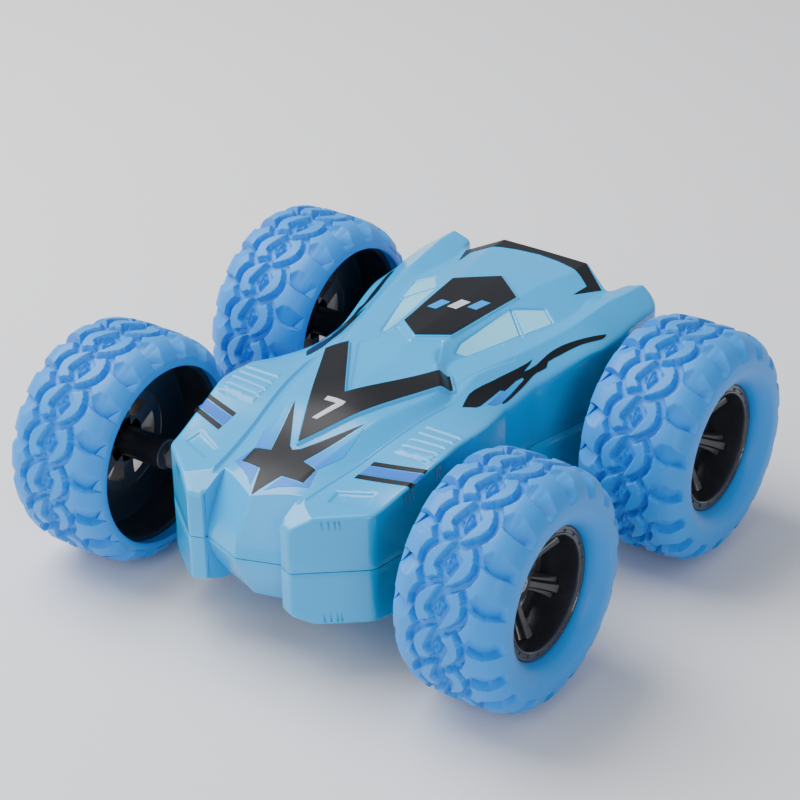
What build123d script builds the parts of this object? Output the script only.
from build123d import *
from math import acos, atan2, cos, hypot, pi, radians, sin, sqrt, tan
import os

# A double-sided radio-controlled stunt car. Its body is a pair of mirrored plastic shells that
# meet on a level parting plane through the axles, so it drives on either face. Each side has one
# motor, which turns the front and the rear wheel of that side through two compound gears each.
# Frame: +X is the car's left, -Y its front, +Z up. The tyres stand on Z = 0.

os.makedirs("parts", exist_ok=True)

# ---- wheels and body, mm ----
tyre_radius = 35.0
tyre_width = 35.2
wheelbase = 92.4
front_overhang = 33.0
rear_overhang = 33.3
body_half_width = 42.0
body_wheel_gap = 8.4
shell_wall = 1.8
recess_depth = 0.5
fit_gap = 0.15
running_gap = 0.05
press_gap = 0.02

# ---- drive ----
gear_width = 3.8
layer_gap = 0.4
pin_radius = 1.0
axle_radius = 1.5
plate_wall = 1.2
case_wall = 1.4
tooth_gap = 0.6
cover_face = 15.6
motor_height = 15.1
motor_diameter = 20.1
motor_length = 25.0
pressure_angle = radians(20)
backlash = 0.08
pinion_teeth = 10
small_teeth = 12
large_teeth = 40
axle_teeth = 44

# ---- wheel details ----
flange_radius = 19.24
flange_face = 12.6
cup_radius = 27.9
cup_lip = -13.0
rim_wall = 1.6
spoke_count = 6
lug_count = 18

# ---- electrics and fasteners ----
cell_radius = 7.1
cell_length = 50.0
cell_gap = 0.4
spring_space = 4.0
box_wall = 1.3
bay_start = 13.5
board_size = (26.0, 34.0, 1.2)
board_middle = -43.0
jack_bore = 1.75
jack_depth = 8.0
jack_y = -26.0
switch_y = -14.0
knob_size = (2.8, 3.5)
knob_travel = 2.5
boss_radius = 3.8
screw_radius = 1.3
head_radius = 2.3
shell_screw_length = 12.0
shell_screw_seat = 8.0

# ---- sizes worked out from these ----
parting = tyre_radius
axle_y = wheelbase / 2
half_track = body_half_width + body_wheel_gap + tyre_width / 2
module = wheelbase / 154
design_length = 158.7
design_middle = 0.15
design_half_width = 42.0
along = (front_overhang + wheelbase + rear_overhang) / design_length
across = body_half_width / design_half_width
sides = {"left": 1, "right": -1}
ends = {"front": -1, "rear": 1}


def body_y(y):
    """Place along the car of a point drawn at y on the body's own length."""
    return (y - design_middle) * along + (rear_overhang - front_overhang) / 2


# Half sections of the upper body from nose to tail: the place along the car, then across and up
# from the parting plane, the deck's edge, crest, foot, panel edge, and the height at the middle.
stations = (
    (-83, (35.0, 16.4), (14.2, 16.4), (13.5, 15.8), (6.7, 15.5), 15.8),
    (-62, (36.6, 17.2), (16.2, 18.2), (15.5, 17.6), (8.5, 18.7), 19.1),
    (-47, (38.2, 20.4), (18.8, 19.6), (18.1, 19.0), (11.0, 21.6), 22.0),
    (-30, (39.7, 23.8), (21.8, 22.6), (21.1, 22.0), (15.0, 25.4), 26.5),
    (-22, (39.5, 23.2), (23.0, 23.6), (22.3, 23.0), (17.5, 26.0), 27.8),
    (-10, (37.5, 20.6), (24.3, 23.8), (23.6, 23.4), (20.5, 26.8), 28.6),
    (6, (35.0, 18.8), (23.5, 25.8), (13.5, 26.2), (9.0, 29.8), 30.5),
    (14, (34.9, 19.0), (25.0, 25.8), (15.5, 26.2), (8.6, 30.0), 30.5),
    (44, (41.2, 21.3), (31.0, 26.6), (26.0, 26.0), (11.9, 30.3), 30.5),
    (54, (41.3, 21.4), (32.0, 27.2), (26.5, 25.5), (12.0, 30.2), 30.3),
    (63, (42.0, 22.0), (32.8, 27.6), (25.0, 25.4), (14.0, 29.8), 30.0),
    (70, (42.0, 22.2), (34.0, 27.4), (26.0, 25.0), (15.0, 29.3), 29.5),
    (83, (41.0, 22.0), (35.0, 26.4), (27.0, 24.0), (15.0, 28.8), 28.9),
)
side_reach = 50.0 * across

# Plan outline of one side of the body, without the nose, each point with its corner radius.
side_outline = (
    (13.4, -62.0, 0.5),
    (13.4, -75.9, 0.5),
    (17.5, -77.3, 1.5),
    (35.4, -62.7, 5.0),
    (39.8, -34.0, 12.0),
    (39.4, -19.0, 12.0),
    (35.0, 3.0, 12.0),
    (35.0, 18.0, 12.0),
    (41.4, 45.0, 12.0),
    (42.0, 79.5, 7.0),
    (27.0, 79.5, 3.0),
    (15.5, 78.5, 2.0),
)
nose_rows = (
    (0.0, (15.5, -73.6), -79.2),
    (20.0, (15.5, -62.9), -72.0),
)
nose_root = -56.0
body_reach = 45.0


def section_points(station, inset, bottom):
    """Closed outline of one cross-section of the body, drawn in by inset at the top."""
    _, edge, crest, foot, panel, middle = station
    fall = (edge[1] - crest[1]) / (edge[0] - crest[0])
    brim = edge[1] + fall * (50.0 - edge[0])
    half = [(50.0, brim), crest, foot, panel]
    right = [(x * across, parting + h - inset) for x, h in half]
    left = [(-x, z) for x, z in reversed(right)]
    top = right + [(0.0, parting + middle - inset)] + left
    return [(side_reach, parting - bottom)] + top + [(-side_reach, parting - bottom)]


def body_form(inset, bottom):
    """Solid upper half of the body, drawn in by inset, from bottom below the parting plane."""
    half = [(x * across, body_y(y)) for x, y, _ in side_outline]
    corners = half + [(-x, y) for x, y in reversed(half)]
    radii = [r for _, _, r in side_outline]
    with BuildPart() as footprint:
        with BuildSketch(Plane.XY.offset(parting - bottom)):
            with BuildLine():
                FilletPolyline(*corners, radius=radii + radii[::-1], close=True)
            make_face()
            if inset:
                offset(amount=-inset, kind=Kind.INTERSECTION)
        extrude(amount=body_reach)
        for height, shoulder, tip in nose_rows:
            with BuildSketch(Plane.XY.offset(parting + (height if height else -bottom))):
                outer = (shoulder[0] * across, body_y(shoulder[1]) + inset)
                root = (outer[0], body_y(nose_root))
                Polygon(
                    root, outer, (0, body_y(tip) + inset), (-outer[0], outer[1]), (-root[0], root[1]),
                    align=None,
                )
        loft(ruled=True)
    with BuildPart() as form:
        for station in stations:
            with BuildSketch(Plane.XZ.offset(-body_y(station[0]))):
                Polygon(*section_points(station, inset, bottom), align=None)
        loft(ruled=True)
        add(footprint.part, mode=Mode.INTERSECT)
    return form.part


upper_form = body_form(0.0, 0.0)
upper_hollow = body_form(shell_wall, 1.0)
lower_form = mirror(upper_form, about=Plane.XY.offset(parting))
lower_hollow = mirror(upper_hollow, about=Plane.XY.offset(parting))

# Shallow recesses in both faces: side windows, and the louvres on the front pods.
window_outline = ((15.8, 9.0), (24.6, 16.0), (27.6, 42.0), (21.0, 46.0), (15.0, 38.0))
louvre_rows = [-35.0 + 3.4 * row for row in range(5)]
with BuildPart() as upper_recesses:
    with BuildSketch(Plane.XY.offset(parting + 5)):
        Polygon(*[(x * across, body_y(y)) for x, y in window_outline], align=None)
        with Locations(*[(31.6 * across, body_y(y)) for y in louvre_rows]):
            Rectangle(10.5 * across, 1.5)
        mirror(about=Plane.YZ)
    extrude(amount=body_reach)
    add(Pos(0, 0, -recess_depth) * upper_form, mode=Mode.SUBTRACT)
lower_recesses = mirror(upper_recesses.part, about=Plane.XY.offset(parting))

shell_screw_places = [
    (side * x * across, body_y(y)) for side in (1, -1) for x, y in ((22.0, -67.5), (33.0, 70.0))
]
sleeve_radius = axle_radius + 2.0
floor_at_switch = parting - 28.3
floor_at_jack = parting - 27.2
board_under = parting - 2.0
board_posts = [
    (x, body_y(board_middle) + y) for x in (-10.0, 10.0) for y in (-13.0, 13.0)
]

# ---- upper shell: hollow half with four screw bosses ----
with BuildPart() as upper_shell:
    add(upper_form)
    add(upper_hollow, mode=Mode.SUBTRACT)
    with BuildSketch(Plane.XY.offset(parting)):
        with Locations(*shell_screw_places):
            Circle(boss_radius)
    extrude(amount=body_reach)
    add(upper_form, mode=Mode.INTERSECT)
    with BuildSketch(Plane.XY.offset(parting)):
        with Locations(*shell_screw_places):
            Circle(screw_radius + press_gap)
    extrude(amount=shell_screw_length - shell_screw_seat + 1.0, mode=Mode.SUBTRACT)
    with BuildSketch(Plane.YZ):
        with Locations((-axle_y, parting), (axle_y, parting)):
            Circle(sleeve_radius + fit_gap)
    extrude(amount=half_track, both=True, mode=Mode.SUBTRACT)
    add(upper_recesses.part, mode=Mode.SUBTRACT)
upper_shell.part.label = "upper_shell"
export_step(upper_shell.part, "parts/upper_shell.step")

# ---- battery bay, measured from the cell ----
bay_half = cell_radius + cell_gap
bay_front = body_y(bay_start)
bay_rear = bay_front + cell_length + spring_space
door_rear = bay_rear + 7.5
door_screw_y = bay_rear + 4.0
bay_floor = parting - 30.5 + shell_wall + 1.3
cell_z = bay_floor + cell_radius + cell_gap
box_top = cell_z + cell_radius + cell_gap + box_wall

# ---- lower shell: the same form mirrored, with its openings ----
with BuildPart() as lower_shell:
    add(lower_form)
    add(lower_hollow, mode=Mode.SUBTRACT)
    with BuildSketch(Plane.XY):
        with Locations(*shell_screw_places):
            Circle(boss_radius)
    extrude(amount=parting)
    with BuildSketch(Plane.XY):
        with Locations(*board_posts):
            Circle(2.2)
    extrude(amount=board_under)
    add(lower_form, mode=Mode.INTERSECT)
    with BuildSketch(Plane.XY):
        with Locations(*shell_screw_places):
            Circle(head_radius + fit_gap)
    extrude(amount=parting - shell_screw_seat, mode=Mode.SUBTRACT)
    with BuildSketch(Plane.XY):
        with Locations(*shell_screw_places):
            Circle(screw_radius + fit_gap)
    extrude(amount=parting, mode=Mode.SUBTRACT)
    with BuildSketch(Plane.XY.offset(board_under)):
        with Locations(*board_posts):
            Circle(1.0 + press_gap)
    extrude(amount=-6.0, mode=Mode.SUBTRACT)
    with BuildSketch(Plane.YZ):
        with Locations((-axle_y, parting), (axle_y, parting)):
            Circle(sleeve_radius + fit_gap)
    extrude(amount=half_track, both=True, mode=Mode.SUBTRACT)
    add(lower_recesses, mode=Mode.SUBTRACT)
    with BuildSketch(Plane.XY):
        with Locations((0, (bay_front + door_rear) / 2)):
            Rectangle(2 * bay_half, door_rear - bay_front)
        with Locations((0, body_y(switch_y))):
            Rectangle(knob_size[0] + 0.6, knob_size[1] + knob_travel + 0.6)
        with Locations((0, body_y(jack_y))):
            Circle(jack_bore + 0.9)
    extrude(amount=parting / 2, mode=Mode.SUBTRACT)
lower_shell.part.label = "lower_shell"
export_step(lower_shell.part, "parts/lower_shell.step")

# ---- battery door: the piece of the lower skin that closes the bay, flush with it ----
with BuildPart() as battery_door:
    with BuildSketch(Plane.XY):
        with Locations((0, (bay_front + door_rear) / 2)):
            Rectangle(2 * (bay_half - fit_gap), door_rear - bay_front - 2 * fit_gap)
    extrude(amount=parting / 2)
    add(lower_form, mode=Mode.INTERSECT)
    add(lower_hollow, mode=Mode.SUBTRACT)
    with BuildSketch(Plane.XY):
        with Locations((0, door_screw_y)):
            Circle(screw_radius + fit_gap)
    extrude(amount=parting / 2, mode=Mode.SUBTRACT)
    with BuildSketch(Plane.XY):
        with Locations((0, door_screw_y)):
            Circle(head_radius + fit_gap)
    extrude(amount=parting - 28.4, mode=Mode.SUBTRACT)
battery_door.part.label = "battery_door"
export_step(battery_door.part, "parts/battery_door.step")

door_seat = parting - 28.4
with BuildPart() as battery_door_screw:
    with BuildSketch(Plane.XY.offset(door_seat)):
        with Locations((0, door_screw_y)):
            Circle(head_radius)
    extrude(amount=-0.9)
    with BuildSketch(Plane.XY.offset(door_seat)):
        with Locations((0, door_screw_y)):
            Circle(screw_radius)
    extrude(amount=7.5)
    with BuildSketch(Plane.XY.offset(door_seat - 0.9)):
        with Locations((0, door_screw_y)):
            Rectangle(2.6, 0.6)
            Rectangle(0.6, 2.6)
    extrude(amount=0.5, mode=Mode.SUBTRACT)
battery_door_screw.part.label = "battery_door_screw"
export_step(battery_door_screw.part, "parts/battery_door_screw.step")

# ---- four screws that hold the shells together, put in from below ----
with BuildPart() as shell_screws:
    with BuildSketch(Plane.XY.offset(parting - shell_screw_seat)):
        with Locations(*shell_screw_places):
            Circle(head_radius)
    extrude(amount=-1.6)
    with BuildSketch(Plane.XY.offset(parting - shell_screw_seat)):
        with Locations(*shell_screw_places):
            Circle(screw_radius)
    extrude(amount=shell_screw_length)
    with BuildSketch(Plane.XY.offset(parting - shell_screw_seat - 1.6)):
        with Locations(*shell_screw_places):
            Rectangle(2.6, 0.6)
            Rectangle(0.6, 2.6)
    extrude(amount=0.8, mode=Mode.SUBTRACT)
shell_screws.part.label = "shell_screws"
export_step(shell_screws.part, "parts/shell_screws.step")

# ---- battery box: a tray open towards the door, with a post for the door's screw ----
bay_middle = (bay_front + bay_rear) / 2
post_floor = bay_floor + 0.8
post_height = 9.0
with BuildPart() as battery_box:
    with BuildSketch(Plane.XY.offset(bay_floor)):
        with Locations((0, bay_middle)):
            Rectangle(2 * (bay_half + box_wall), bay_rear - bay_front + 2 * box_wall)
    extrude(amount=box_top - bay_floor)
    with BuildSketch(Plane.XY.offset(bay_floor)):
        with Locations((0, bay_middle)):
            Rectangle(2 * bay_half, bay_rear - bay_front)
    extrude(amount=box_top - bay_floor - box_wall, mode=Mode.SUBTRACT)
    with BuildSketch(Plane.XY.offset(post_floor)):
        with Locations((0, door_screw_y)):
            Circle(screw_radius + 1.4)
        with Locations((0, (bay_rear + door_screw_y) / 2)):
            Rectangle(1.4, door_screw_y - bay_rear - 1.0)
    extrude(amount=post_height)
    with BuildSketch(Plane.XY.offset(post_floor)):
        with Locations((0, door_screw_y)):
            Circle(screw_radius + press_gap)
    extrude(amount=post_height - 1.0, mode=Mode.SUBTRACT)
battery_box.part.label = "battery_box"
export_step(battery_box.part, "parts/battery_box.step")

with BuildPart() as battery_cell:
    with BuildSketch(Plane.XZ.offset(-(bay_rear - 0.6))):
        with Locations((0, cell_z)):
            Circle(cell_radius)
    extrude(amount=cell_length - 1.0)
    with BuildSketch(Plane.XZ.offset(-(bay_rear - 0.6 - cell_length + 1.0))):
        with Locations((0, cell_z)):
            Circle(2.8)
    extrude(amount=1.0)
battery_cell.part.label = "battery_cell"
export_step(battery_cell.part, "parts/battery_cell.step")

# A flat contact at the tail end and a plate with a conical spring at the front end.
with BuildPart() as battery_contacts:
    with BuildSketch(Plane.XZ.offset(-(bay_rear - 0.1))):
        with Locations((0, cell_z)):
            Rectangle(9.0, 9.0)
    extrude(amount=0.4)
    with BuildSketch(Plane.XZ.offset(-(bay_front + 0.5))):
        with Locations((0, cell_z)):
            Rectangle(9.0, 9.0)
    extrude(amount=0.4)
    for turn in range(3):
        with BuildSketch(Plane.XZ.offset(-(bay_front + 1.2 + turn * 0.8))):
            with Locations((0, cell_z)):
                Circle(4.0 - 0.8 * turn)
                Circle(2.4 - 0.8 * turn, mode=Mode.SUBTRACT)
        extrude(amount=0.8)
battery_contacts.part.label = "battery_contacts"
export_step(battery_contacts.part, "parts/battery_contacts.step")

# ---- receiver board on four posts ----
with BuildPart() as receiver_board:
    with BuildSketch(Plane.XY.offset(board_under)):
        with Locations((0, body_y(board_middle))):
            RectangleRounded(board_size[0], board_size[1], 1.5)
        with Locations(*board_posts):
            Circle(1.0 + fit_gap, mode=Mode.SUBTRACT)
    extrude(amount=board_size[2])
receiver_board.part.label = "receiver_board"
export_step(receiver_board.part, "parts/receiver_board.step")

board_top = board_under + board_size[2]
with BuildPart() as board_components:
    with BuildSketch(Plane.XY.offset(board_top)):
        with Locations((-5.0, body_y(board_middle) - 4.0), (-5.0, body_y(board_middle) + 5.0)):
            Rectangle(6.0, 6.5)
        with Locations((5.5, body_y(board_middle) + 9.0)):
            Rectangle(4.5, 8.0)
    extrude(amount=1.5)
    with BuildSketch(Plane.XY.offset(board_top)):
        with Locations((5.0, body_y(board_middle) - 6.0)):
            Circle(2.5)
    extrude(amount=7.0)
    with BuildSketch(Plane.XY.offset(board_top)):
        with Locations((5.0, body_y(board_middle) + 1.5)):
            SlotOverall(8.0, 3.4)
    extrude(amount=3.2)
board_components.part.label = "board_components"
export_step(board_components.part, "parts/board_components.step")

with BuildPart() as board_screws:
    with BuildSketch(Plane.XY.offset(board_top)):
        with Locations(*board_posts):
            Circle(1.9)
    extrude(amount=1.1)
    with BuildSketch(Plane.XY.offset(board_top)):
        with Locations(*board_posts):
            Circle(1.0)
    extrude(amount=-(board_size[2] + 5.0))
board_screws.part.label = "board_screws"
export_step(board_screws.part, "parts/board_screws.step")

# ---- power switch: a slide knob that reaches through the floor ----
switch_floor = floor_at_switch + shell_wall + 0.9
with BuildPart() as power_switch_body:
    with BuildSketch(Plane.XY.offset(switch_floor)):
        with Locations((0, body_y(switch_y))):
            Rectangle(9.0, knob_size[1] + knob_travel + 5.0)
    extrude(amount=5.0)
    with BuildSketch(Plane.XY.offset(switch_floor)):
        with Locations((0, body_y(switch_y))):
            Rectangle(knob_size[0] + 0.6, knob_size[1] + knob_travel + 0.6)
    extrude(amount=3.0, mode=Mode.SUBTRACT)
power_switch_body.part.label = "power_switch_body"
export_step(power_switch_body.part, "parts/power_switch_body.step")

knob_y = body_y(switch_y) - knob_travel / 2
knob_drop = 0.9
with BuildPart() as power_switch_knob:
    with BuildSketch(Plane.XY.offset(floor_at_switch - knob_drop)):
        with Locations((0, knob_y)):
            Rectangle(*knob_size)
    extrude(amount=switch_floor + 2.7 - (floor_at_switch - knob_drop))
    with BuildSketch(Plane.XY.offset(floor_at_switch - knob_drop)):
        with Locations((0, knob_y - 0.9), (0, knob_y), (0, knob_y + 0.9)):
            Rectangle(knob_size[0], 0.4)
    extrude(amount=0.35, mode=Mode.SUBTRACT)
power_switch_knob.part.label = "power_switch_knob"
export_step(power_switch_knob.part, "parts/power_switch_knob.step")

# ---- charging jack: a barrel whose mouth opens through the floor ----
jack_mouth = floor_at_jack + shell_wall + 1.4
with BuildPart() as charge_jack:
    with BuildSketch(Plane.XY.offset(jack_mouth)):
        with Locations((0, body_y(jack_y))):
            Rectangle(9.0, 8.0)
    extrude(amount=jack_depth + 1.5)
    with BuildSketch(Plane.XY.offset(jack_mouth)):
        with Locations((0, body_y(jack_y))):
            Circle(jack_bore)
    extrude(amount=jack_depth, mode=Mode.SUBTRACT)
charge_jack.part.label = "charge_jack"
export_step(charge_jack.part, "parts/charge_jack.step")


# ---- gears ----
def involute(angle):
    return tan(angle) - angle


def gear_points(teeth, phase, tip, root):
    """Outline of a spur gear with a tooth centred at the angle phase, tip and root in modules."""
    pitch = module * teeth / 2
    base = pitch * cos(pressure_angle)
    half_tooth = pi / (2 * teeth) - backlash / (2 * pitch) + involute(pressure_angle)
    low, high = pitch - root * module, pitch + tip * module
    flank = [(low, half_tooth - involute(acos(min(1.0, base / max(low, base)))))]
    for step in range(4):
        radius = max(low, base) + (high - max(low, base)) * step / 3
        if radius > low:
            flank.append((radius, half_tooth - involute(acos(base / radius))))
    points = []
    for tooth in range(teeth):
        centre = phase + 2 * pi * tooth / teeth
        for radius, spread in flank:
            points.append((radius * cos(centre - spread), radius * sin(centre - spread)))
        for radius, spread in reversed(flank):
            points.append((radius * cos(centre + spread), radius * sin(centre + spread)))
    return points


def meshed_phase(place_a, teeth_a, phase_a, place_b, teeth_b):
    """Phase of gear b, so that a space of b faces each tooth of a on their line of centres."""
    line = atan2(place_b[1] - place_a[1], place_b[0] - place_a[0])
    return line + pi - (pi - (line - phase_a) * teeth_a) / teeth_b


def meeting_point(place_a, reach_a, place_b, reach_b, turn):
    """The point at reach_a from a and reach_b from b, on the side of the line that turn picks."""
    gap = hypot(place_b[0] - place_a[0], place_b[1] - place_a[1])
    share = (reach_a**2 - reach_b**2 + gap**2) / (2 * gap)
    rise = turn * sqrt(reach_a**2 - share**2)
    unit = ((place_b[0] - place_a[0]) / gap, (place_b[1] - place_a[1]) / gap)
    return (
        place_a[0] + share * unit[0] - rise * unit[1],
        place_a[1] + share * unit[1] + rise * unit[0],
    )


large_tip, large_root = 0.7, 1.25
small_tip, small_root = 1.0, 0.95
pinion_reach = module * (pinion_teeth + large_teeth) / 2
train_reach = module * (small_teeth + large_teeth) / 2
axle_reach = module * (small_teeth + axle_teeth) / 2
first_y = 24.0 * module
motor_rise = 8.5
large_radius = module * (large_teeth / 2 + large_tip)
axle_gear_radius = module * (axle_teeth / 2 + large_tip)

cover_back = cover_face + plate_wall
layers = [cover_back + 0.5 + step * (gear_width + layer_gap) for step in range(3)]
case_floor = layers[2] + gear_width + layer_gap
case_face = case_floor + plate_wall
hub_start = cover_back + 0.2
hub_end = case_floor - 0.2
sleeve_end = half_track - tyre_width / 2 - 1.2
hub_radius = 2.3 * module / 0.6
motor_face = cover_face - 0.1
bell_length = 4.0
motor_screw_reach = 8.0
wheel_hub_back = sleeve_end + 2.0 - half_track
hub_face = 3.6
axle_end = hub_face - 0.6
axle_start = cover_back + 0.2 - half_track
barrel_radius = flange_radius - 0.64
spider_radius = barrel_radius - rim_wall - 1.0
web = 0.6
half_width = tyre_width / 2
seat = 0.1
spacer = 3.0 * module / 0.6

for side_name, side in sides.items():
    lift = side
    motor_place = (0.0, parting + lift * motor_rise)
    first_z = motor_place[1] - lift * sqrt(pinion_reach**2 - first_y**2)
    first_places = {end: (way * first_y, first_z) for end, way in ends.items()}
    axle_places = {end: (way * axle_y, parting) for end, way in ends.items()}
    second_places = {
        end: meeting_point(
            first_places[end], train_reach, axle_places[end], axle_reach, -lift * way
        )
        for end, way in ends.items()
    }
    pin_places = list(first_places.values()) + list(second_places.values())
    screw_places = [(way * motor_screw_reach, motor_place[1]) for way in ends.values()]

    # Gearbox case: an open tray, deep over the whole train and raised where the first gears
    # stand above it, with a sleeve for each axle that runs out through the shell's side.
    with BuildPart() as gearbox_case:
        with BuildSketch(Plane.YZ.offset(side * cover_back)):
            with Locations(*axle_places.values()):
                Circle(axle_gear_radius + tooth_gap + case_wall)
            make_hull()
        extrude(amount=side * (case_face - cover_back))
        with BuildSketch(Plane.YZ.offset(side * cover_back)):
            with Locations(*first_places.values()):
                Circle(large_radius + tooth_gap + case_wall)
            make_hull()
        extrude(amount=side * (layers[1] + plate_wall - cover_back))
        with BuildSketch(Plane.YZ.offset(side * case_face)):
            with Locations(*axle_places.values()):
                Circle(sleeve_radius)
        extrude(amount=side * (sleeve_end - case_face))
        with BuildSketch(Plane.YZ.offset(side * cover_back)):
            with Locations(*axle_places.values()):
                Circle(axle_gear_radius + tooth_gap)
            make_hull()
        extrude(amount=side * (case_floor - cover_back), mode=Mode.SUBTRACT)
        with BuildSketch(Plane.YZ.offset(side * cover_back)):
            with Locations(*first_places.values()):
                Circle(large_radius + tooth_gap)
            make_hull()
        extrude(amount=side * (layers[1] - cover_back), mode=Mode.SUBTRACT)
        with BuildSketch(Plane.YZ.offset(side * (case_floor - 1.0))):
            with Locations(*pin_places):
                Circle(pin_radius + press_gap)
            with Locations(*axle_places.values()):
                Circle(axle_radius + running_gap)
        extrude(amount=side * (sleeve_end - case_floor + 2.0), mode=Mode.SUBTRACT)
    gearbox_case.part.label = f"{side_name}_gearbox_case"
    export_step(gearbox_case.part, f"parts/{side_name}_gearbox_case.step")

    # Gearbox cover: the plate that the motor is screwed to, with a boss for each axle's end.
    with BuildPart() as gearbox_cover:
        with BuildSketch(Plane.YZ.offset(side * cover_face)):
            with Locations(*axle_places.values()):
                Circle(axle_gear_radius + tooth_gap + case_wall)
            make_hull()
        extrude(amount=side * plate_wall)
        with BuildSketch(Plane.YZ.offset(side * cover_face)):
            with Locations(*first_places.values()):
                Circle(large_radius + tooth_gap + case_wall)
            make_hull()
        extrude(amount=side * plate_wall)
        with BuildSketch(Plane.YZ.offset(side * cover_back)):
            with Locations(*axle_places.values()):
                Circle(axle_radius + 1.6)
        extrude(amount=side * (layers[2] - 1.0 - cover_back))
        with BuildSketch(Plane.YZ.offset(side * cover_back)):
            with Locations(*axle_places.values()):
                Circle(axle_radius + running_gap)
        extrude(amount=side * (layers[2] - cover_back), mode=Mode.SUBTRACT)
        with BuildSketch(Plane.YZ.offset(side * cover_face)):
            with Locations(*pin_places):
                Circle(pin_radius + press_gap)
            with Locations(motor_place):
                Circle(3.2)
            with Locations(*screw_places):
                Circle(1.0 + press_gap)
        extrude(amount=side * plate_wall, mode=Mode.SUBTRACT)
    gearbox_cover.part.label = f"{side_name}_gearbox_cover"
    export_step(gearbox_cover.part, f"parts/{side_name}_gearbox_cover.step")

    with BuildPart() as gear_pins:
        with BuildSketch(Plane.YZ.offset(side * (cover_face + 0.1))):
            with Locations(*pin_places):
                Circle(pin_radius)
        extrude(amount=side * (case_face - cover_face - 0.2))
    gear_pins.part.label = f"{side_name}_gear_pins"
    export_step(gear_pins.part, f"parts/{side_name}_gear_pins.step")

    # Motor: a can with two flat sides, its nylon end bell, its shaft and the pinion.
    with BuildPart() as motor_can:
        with BuildSketch(Plane.YZ.offset(side * motor_face)):
            with Locations(motor_place):
                Circle(motor_diameter / 2)
                Rectangle(motor_diameter, motor_height, mode=Mode.INTERSECT)
        extrude(amount=-side * (motor_length - bell_length))
        with BuildSketch(Plane.YZ.offset(side * motor_face)):
            with Locations(motor_place):
                Circle(3.05)
        extrude(amount=side * plate_wall)
        with BuildSketch(Plane.YZ.offset(side * (motor_face + plate_wall))):
            with Locations(motor_place):
                Circle(1.0 + running_gap)
        extrude(amount=-side * (motor_length + plate_wall), mode=Mode.SUBTRACT)
        with BuildSketch(Plane.YZ.offset(side * motor_face)):
            with Locations(*screw_places):
                Circle(1.0 + press_gap)
        extrude(amount=-side * 3.0, mode=Mode.SUBTRACT)
    motor_can.part.label = f"{side_name}_motor_can"
    export_step(motor_can.part, f"parts/{side_name}_motor_can.step")

    with BuildPart() as motor_end_bell:
        with BuildSketch(Plane.YZ.offset(side * (motor_face - motor_length + bell_length))):
            with Locations(motor_place):
                Circle(motor_diameter / 2 - 0.4)
                Rectangle(motor_diameter, motor_height - 0.8, mode=Mode.INTERSECT)
        extrude(amount=-side * bell_length)
        with BuildSketch(Plane.YZ.offset(side * (motor_face - motor_length + bell_length))):
            with Locations(motor_place):
                Circle(1.0 + running_gap)
        extrude(amount=-side * (bell_length - 1.0), mode=Mode.SUBTRACT)
    motor_end_bell.part.label = f"{side_name}_motor_end_bell"
    export_step(motor_end_bell.part, f"parts/{side_name}_motor_end_bell.step")

    with BuildPart() as motor_screws:
        with BuildSketch(Plane.YZ.offset(side * cover_back)):
            with Locations(*screw_places):
                Circle(1.0)
        extrude(amount=-side * (plate_wall + 2.5))
        with BuildSketch(Plane.YZ.offset(side * cover_back)):
            with Locations(*screw_places):
                Circle(1.8)
        extrude(amount=side * 0.4)
    motor_screws.part.label = f"{side_name}_motor_screws"
    export_step(motor_screws.part, f"parts/{side_name}_motor_screws.step")

    with BuildPart() as motor_shaft:
        with BuildSketch(Plane.YZ.offset(side * (layers[0] + gear_width))):
            with Locations(motor_place):
                Circle(1.0)
        extrude(amount=-side * (layers[0] + gear_width - motor_face + motor_length - 1.5))
    motor_shaft.part.label = f"{side_name}_motor_shaft"
    export_step(motor_shaft.part, f"parts/{side_name}_motor_shaft.step")

    with BuildPart() as motor_pinion:
        with BuildSketch(Plane.YZ.offset(side * layers[0])):
            with Locations(motor_place):
                Polygon(*gear_points(pinion_teeth, 0.0, small_tip, small_root), align=None)
                Circle(1.0 + press_gap, mode=Mode.SUBTRACT)
        extrude(amount=side * gear_width)
    motor_pinion.part.label = f"{side_name}_motor_pinion"
    export_step(motor_pinion.part, f"parts/{side_name}_motor_pinion.step")

    for end_name, way in ends.items():
        first_place = first_places[end_name]
        second_place = second_places[end_name]
        axle_place = axle_places[end_name]
        first_phase = meshed_phase(motor_place, pinion_teeth, 0.0, first_place, large_teeth)
        second_phase = meshed_phase(first_place, small_teeth, first_phase, second_place, large_teeth)
        axle_phase = meshed_phase(second_place, small_teeth, second_phase, axle_place, axle_teeth)

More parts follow.
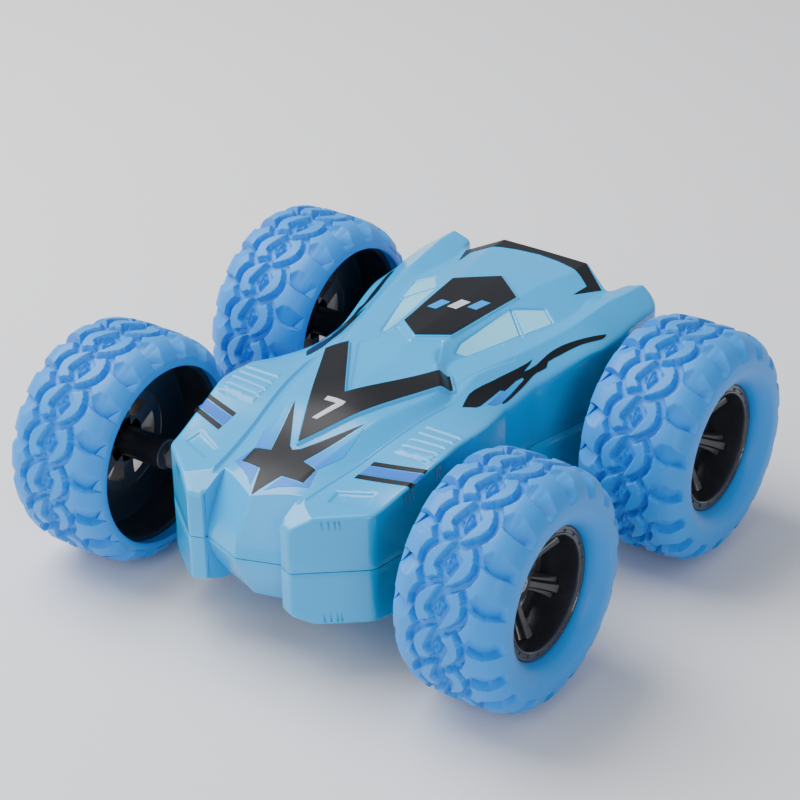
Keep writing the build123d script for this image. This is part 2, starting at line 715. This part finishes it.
        # Two compound gears, each with its large gear one layer nearer the motor than its small one.
        for gear_name, layer, place, phase in (
            ("first", 0, first_place, first_phase),
            ("second", 1, second_place, second_phase),
        ):
            with BuildPart() as compound_gear:
                with BuildSketch(Plane.YZ.offset(side * layers[layer])):
                    with Locations(place):
                        Polygon(*gear_points(large_teeth, phase, large_tip, large_root), align=None)
                extrude(amount=side * gear_width)
                with BuildSketch(Plane.YZ.offset(side * (layers[layer] + gear_width / 2))):
                    with Locations(place):
                        Circle(spacer)
                extrude(amount=side * (gear_width / 2 + layer_gap))
                with BuildSketch(Plane.YZ.offset(side * layers[layer + 1])):
                    with Locations(place):
                        Polygon(*gear_points(small_teeth, phase, small_tip, small_root), align=None)
                extrude(amount=side * gear_width)
                with BuildSketch(Plane.YZ.offset(side * hub_start)):
                    with Locations(place):
                        Circle(hub_radius)
                extrude(amount=side * (hub_end - hub_start))
                with BuildSketch(Plane.YZ.offset(side * hub_start)):
                    with Locations(place):
                        Circle(pin_radius + running_gap)
                extrude(amount=side * (hub_end - hub_start), mode=Mode.SUBTRACT)
            compound_gear.part.label = f"{end_name}_{side_name}_{gear_name}_gear"
            export_step(compound_gear.part, f"parts/{end_name}_{side_name}_{gear_name}_gear.step")

        with BuildPart() as axle_gear:
            with BuildSketch(Plane.YZ.offset(side * layers[2])):
                with Locations(axle_place):
                    Polygon(*gear_points(axle_teeth, axle_phase, large_tip, large_root), align=None)
                    Circle(axle_radius + press_gap, mode=Mode.SUBTRACT)
            extrude(amount=side * gear_width)
        axle_gear.part.label = f"{end_name}_{side_name}_axle_gear"
        export_step(axle_gear.part, f"parts/{end_name}_{side_name}_axle_gear.step")

        # The wheel's own plane: x outwards along the axle from the tyre's middle, y up.
        wheel_plane = Plane(
            origin=(side * half_track, way * axle_y, parting), x_dir=(side, 0, 0), z_dir=(0, -side, 0)
        )
        wheel_axis = Axis((side * half_track, way * axle_y, parting), (1, 0, 0))
        outward = Plane(
            origin=(side * half_track, way * axle_y, parting), x_dir=(0, 1, 0), z_dir=(side, 0, 0)
        )
        with BuildPart() as axle:
            with BuildSketch(outward.offset(axle_start)):
                Circle(axle_radius)
            extrude(amount=axle_end - axle_start)
            with BuildSketch(outward.offset(axle_end)):
                Circle(0.8 + press_gap)
            extrude(amount=-8.0, mode=Mode.SUBTRACT)
        axle.part.label = f"{end_name}_{side_name}_axle"
        export_step(axle.part, f"parts/{end_name}_{side_name}_axle.step")

        with BuildPart() as wheel_screw:
            with BuildSketch(outward.offset(hub_face)):
                Circle(head_radius)
            extrude(amount=1.2)
            with BuildSketch(outward.offset(hub_face)):
                Circle(0.8)
            extrude(amount=-8.0)
            with BuildSketch(outward.offset(hub_face + 1.2)):
                Rectangle(2.8, 0.6)
                Rectangle(0.6, 2.8)
            extrude(amount=-0.6, mode=Mode.SUBTRACT)
        wheel_screw.part.label = f"{end_name}_{side_name}_wheel_screw"
        export_step(wheel_screw.part, f"parts/{end_name}_{side_name}_wheel_screw.step")

        # Rim: a moulded ring, with a wide cup on the inside and a narrow barrel and flange on
        # the outside, and a spider of deep-set spokes and hub pressed into the barrel.
        with BuildPart() as rim:
            with BuildSketch(wheel_plane):
                Polygon(
                    (cup_lip, cup_radius),
                    (web - rim_wall, cup_radius - 0.5),
                    (web, cup_radius - 2.1),
                    (web, barrel_radius),
                    (flange_face - 1.4, barrel_radius),
                    (flange_face - 1.4, flange_radius),
                    (flange_face, flange_radius),
                    (flange_face, barrel_radius - rim_wall - 0.4),
                    (flange_face - 1.0, barrel_radius - rim_wall - 0.8),
                    (web - rim_wall, barrel_radius - rim_wall - 1.2),
                    (web - rim_wall, cup_radius - 2.1),
                    (cup_lip, cup_radius - rim_wall),
                    align=None,
                )
            revolve(axis=wheel_axis)
            with BuildSketch(outward.offset(web - rim_wall)):
                Circle(spider_radius + press_gap)
            extrude(amount=hub_face - web + rim_wall, mode=Mode.SUBTRACT)
            with BuildSketch(outward.offset(web - rim_wall)):
                with PolarLocations(spider_radius / 2, spoke_count, start_angle=90):
                    Rectangle(spider_radius, 4.4)
                Circle(spider_radius, mode=Mode.INTERSECT)
                Circle(7.0)
            extrude(amount=hub_face - web + rim_wall)
            with BuildSketch(outward.offset(wheel_hub_back)):
                Circle(4.6)
            extrude(amount=hub_face - wheel_hub_back)
            with BuildSketch(outward.offset(wheel_hub_back)):
                Circle(axle_radius + press_gap)
            extrude(amount=hub_face - wheel_hub_back, mode=Mode.SUBTRACT)
        rim.part.label = f"{end_name}_{side_name}_rim"
        export_step(rim.part, f"parts/{end_name}_{side_name}_rim.step")

        # Tyre: soft, hollow towards the rim, with a bead at each edge and notched shoulders.
        with BuildPart() as tyre:
            with BuildSketch(wheel_plane):
                with BuildLine():
                    Polyline(
                        (half_width, tyre_radius - 9.0),
                        (half_width - 1.4, tyre_radius - 4.3),
                        (half_width - 4.9, tyre_radius - 1.2),
                        (half_width - 8.8, tyre_radius - 0.3),
                        (0, tyre_radius),
                        (8.8 - half_width, tyre_radius - 0.3),
                        (4.9 - half_width, tyre_radius - 1.2),
                        (1.4 - half_width, tyre_radius - 4.3),
                        (0.6 - half_width, cup_radius + 1.3),
                        (2.0 - half_width, cup_radius + 0.4),
                        (cup_lip, cup_radius + seat),
                        (web - rim_wall, cup_radius - 0.5 + seat),
                        (web + seat, cup_radius - 2.1 + seat),
                        (web + seat, barrel_radius + seat),
                        (flange_face - 1.4 - seat, barrel_radius + seat),
                        (flange_face - 1.4 - seat, flange_radius + seat),
                        (flange_face + 0.3, flange_radius + seat),
                        (half_width - 2.8, flange_radius + 1.2),
                        (half_width - 0.7, flange_radius + 3.6),
                        close=True,
                    )
                make_face()
                with BuildLine():
                    Polyline(
                        (cup_lip + 3.5, flange_radius - 2.0),
                        (cup_lip + 3.5, cup_radius + 2.5),
                        (cup_lip + 4.2, tyre_radius - 2.8),
                        (half_width - 9.0, tyre_radius - 2.9),
                        (half_width - 5.6, tyre_radius - 3.9),
                        (half_width - 3.6, tyre_radius - 6.4),
                        (half_width - 2.7, tyre_radius - 9.4),
                        (half_width - 3.4, flange_radius + 4.0),
                        (flange_face - 1.4, flange_radius + 2.2),
                        (flange_face - 5.0, flange_radius + 1.6),
                        (flange_face - 5.0, flange_radius - 2.0),
                        close=True,
                    )
                make_face(mode=Mode.SUBTRACT)
            revolve(axis=wheel_axis)
            with BuildSketch(outward.offset(half_width - 6.2)):
                with PolarLocations(tyre_radius + 0.2, lug_count):
                    Rectangle(3.6, 3.4)
            extrude(amount=6.4, mode=Mode.SUBTRACT)
            with BuildSketch(outward.offset(6.2 - half_width)):
                with PolarLocations(tyre_radius + 0.2, lug_count):
                    Rectangle(3.6, 3.4)
            extrude(amount=-6.4, mode=Mode.SUBTRACT)
        tyre.part.label = f"{end_name}_{side_name}_tyre"
        export_step(tyre.part, f"parts/{end_name}_{side_name}_tyre.step")
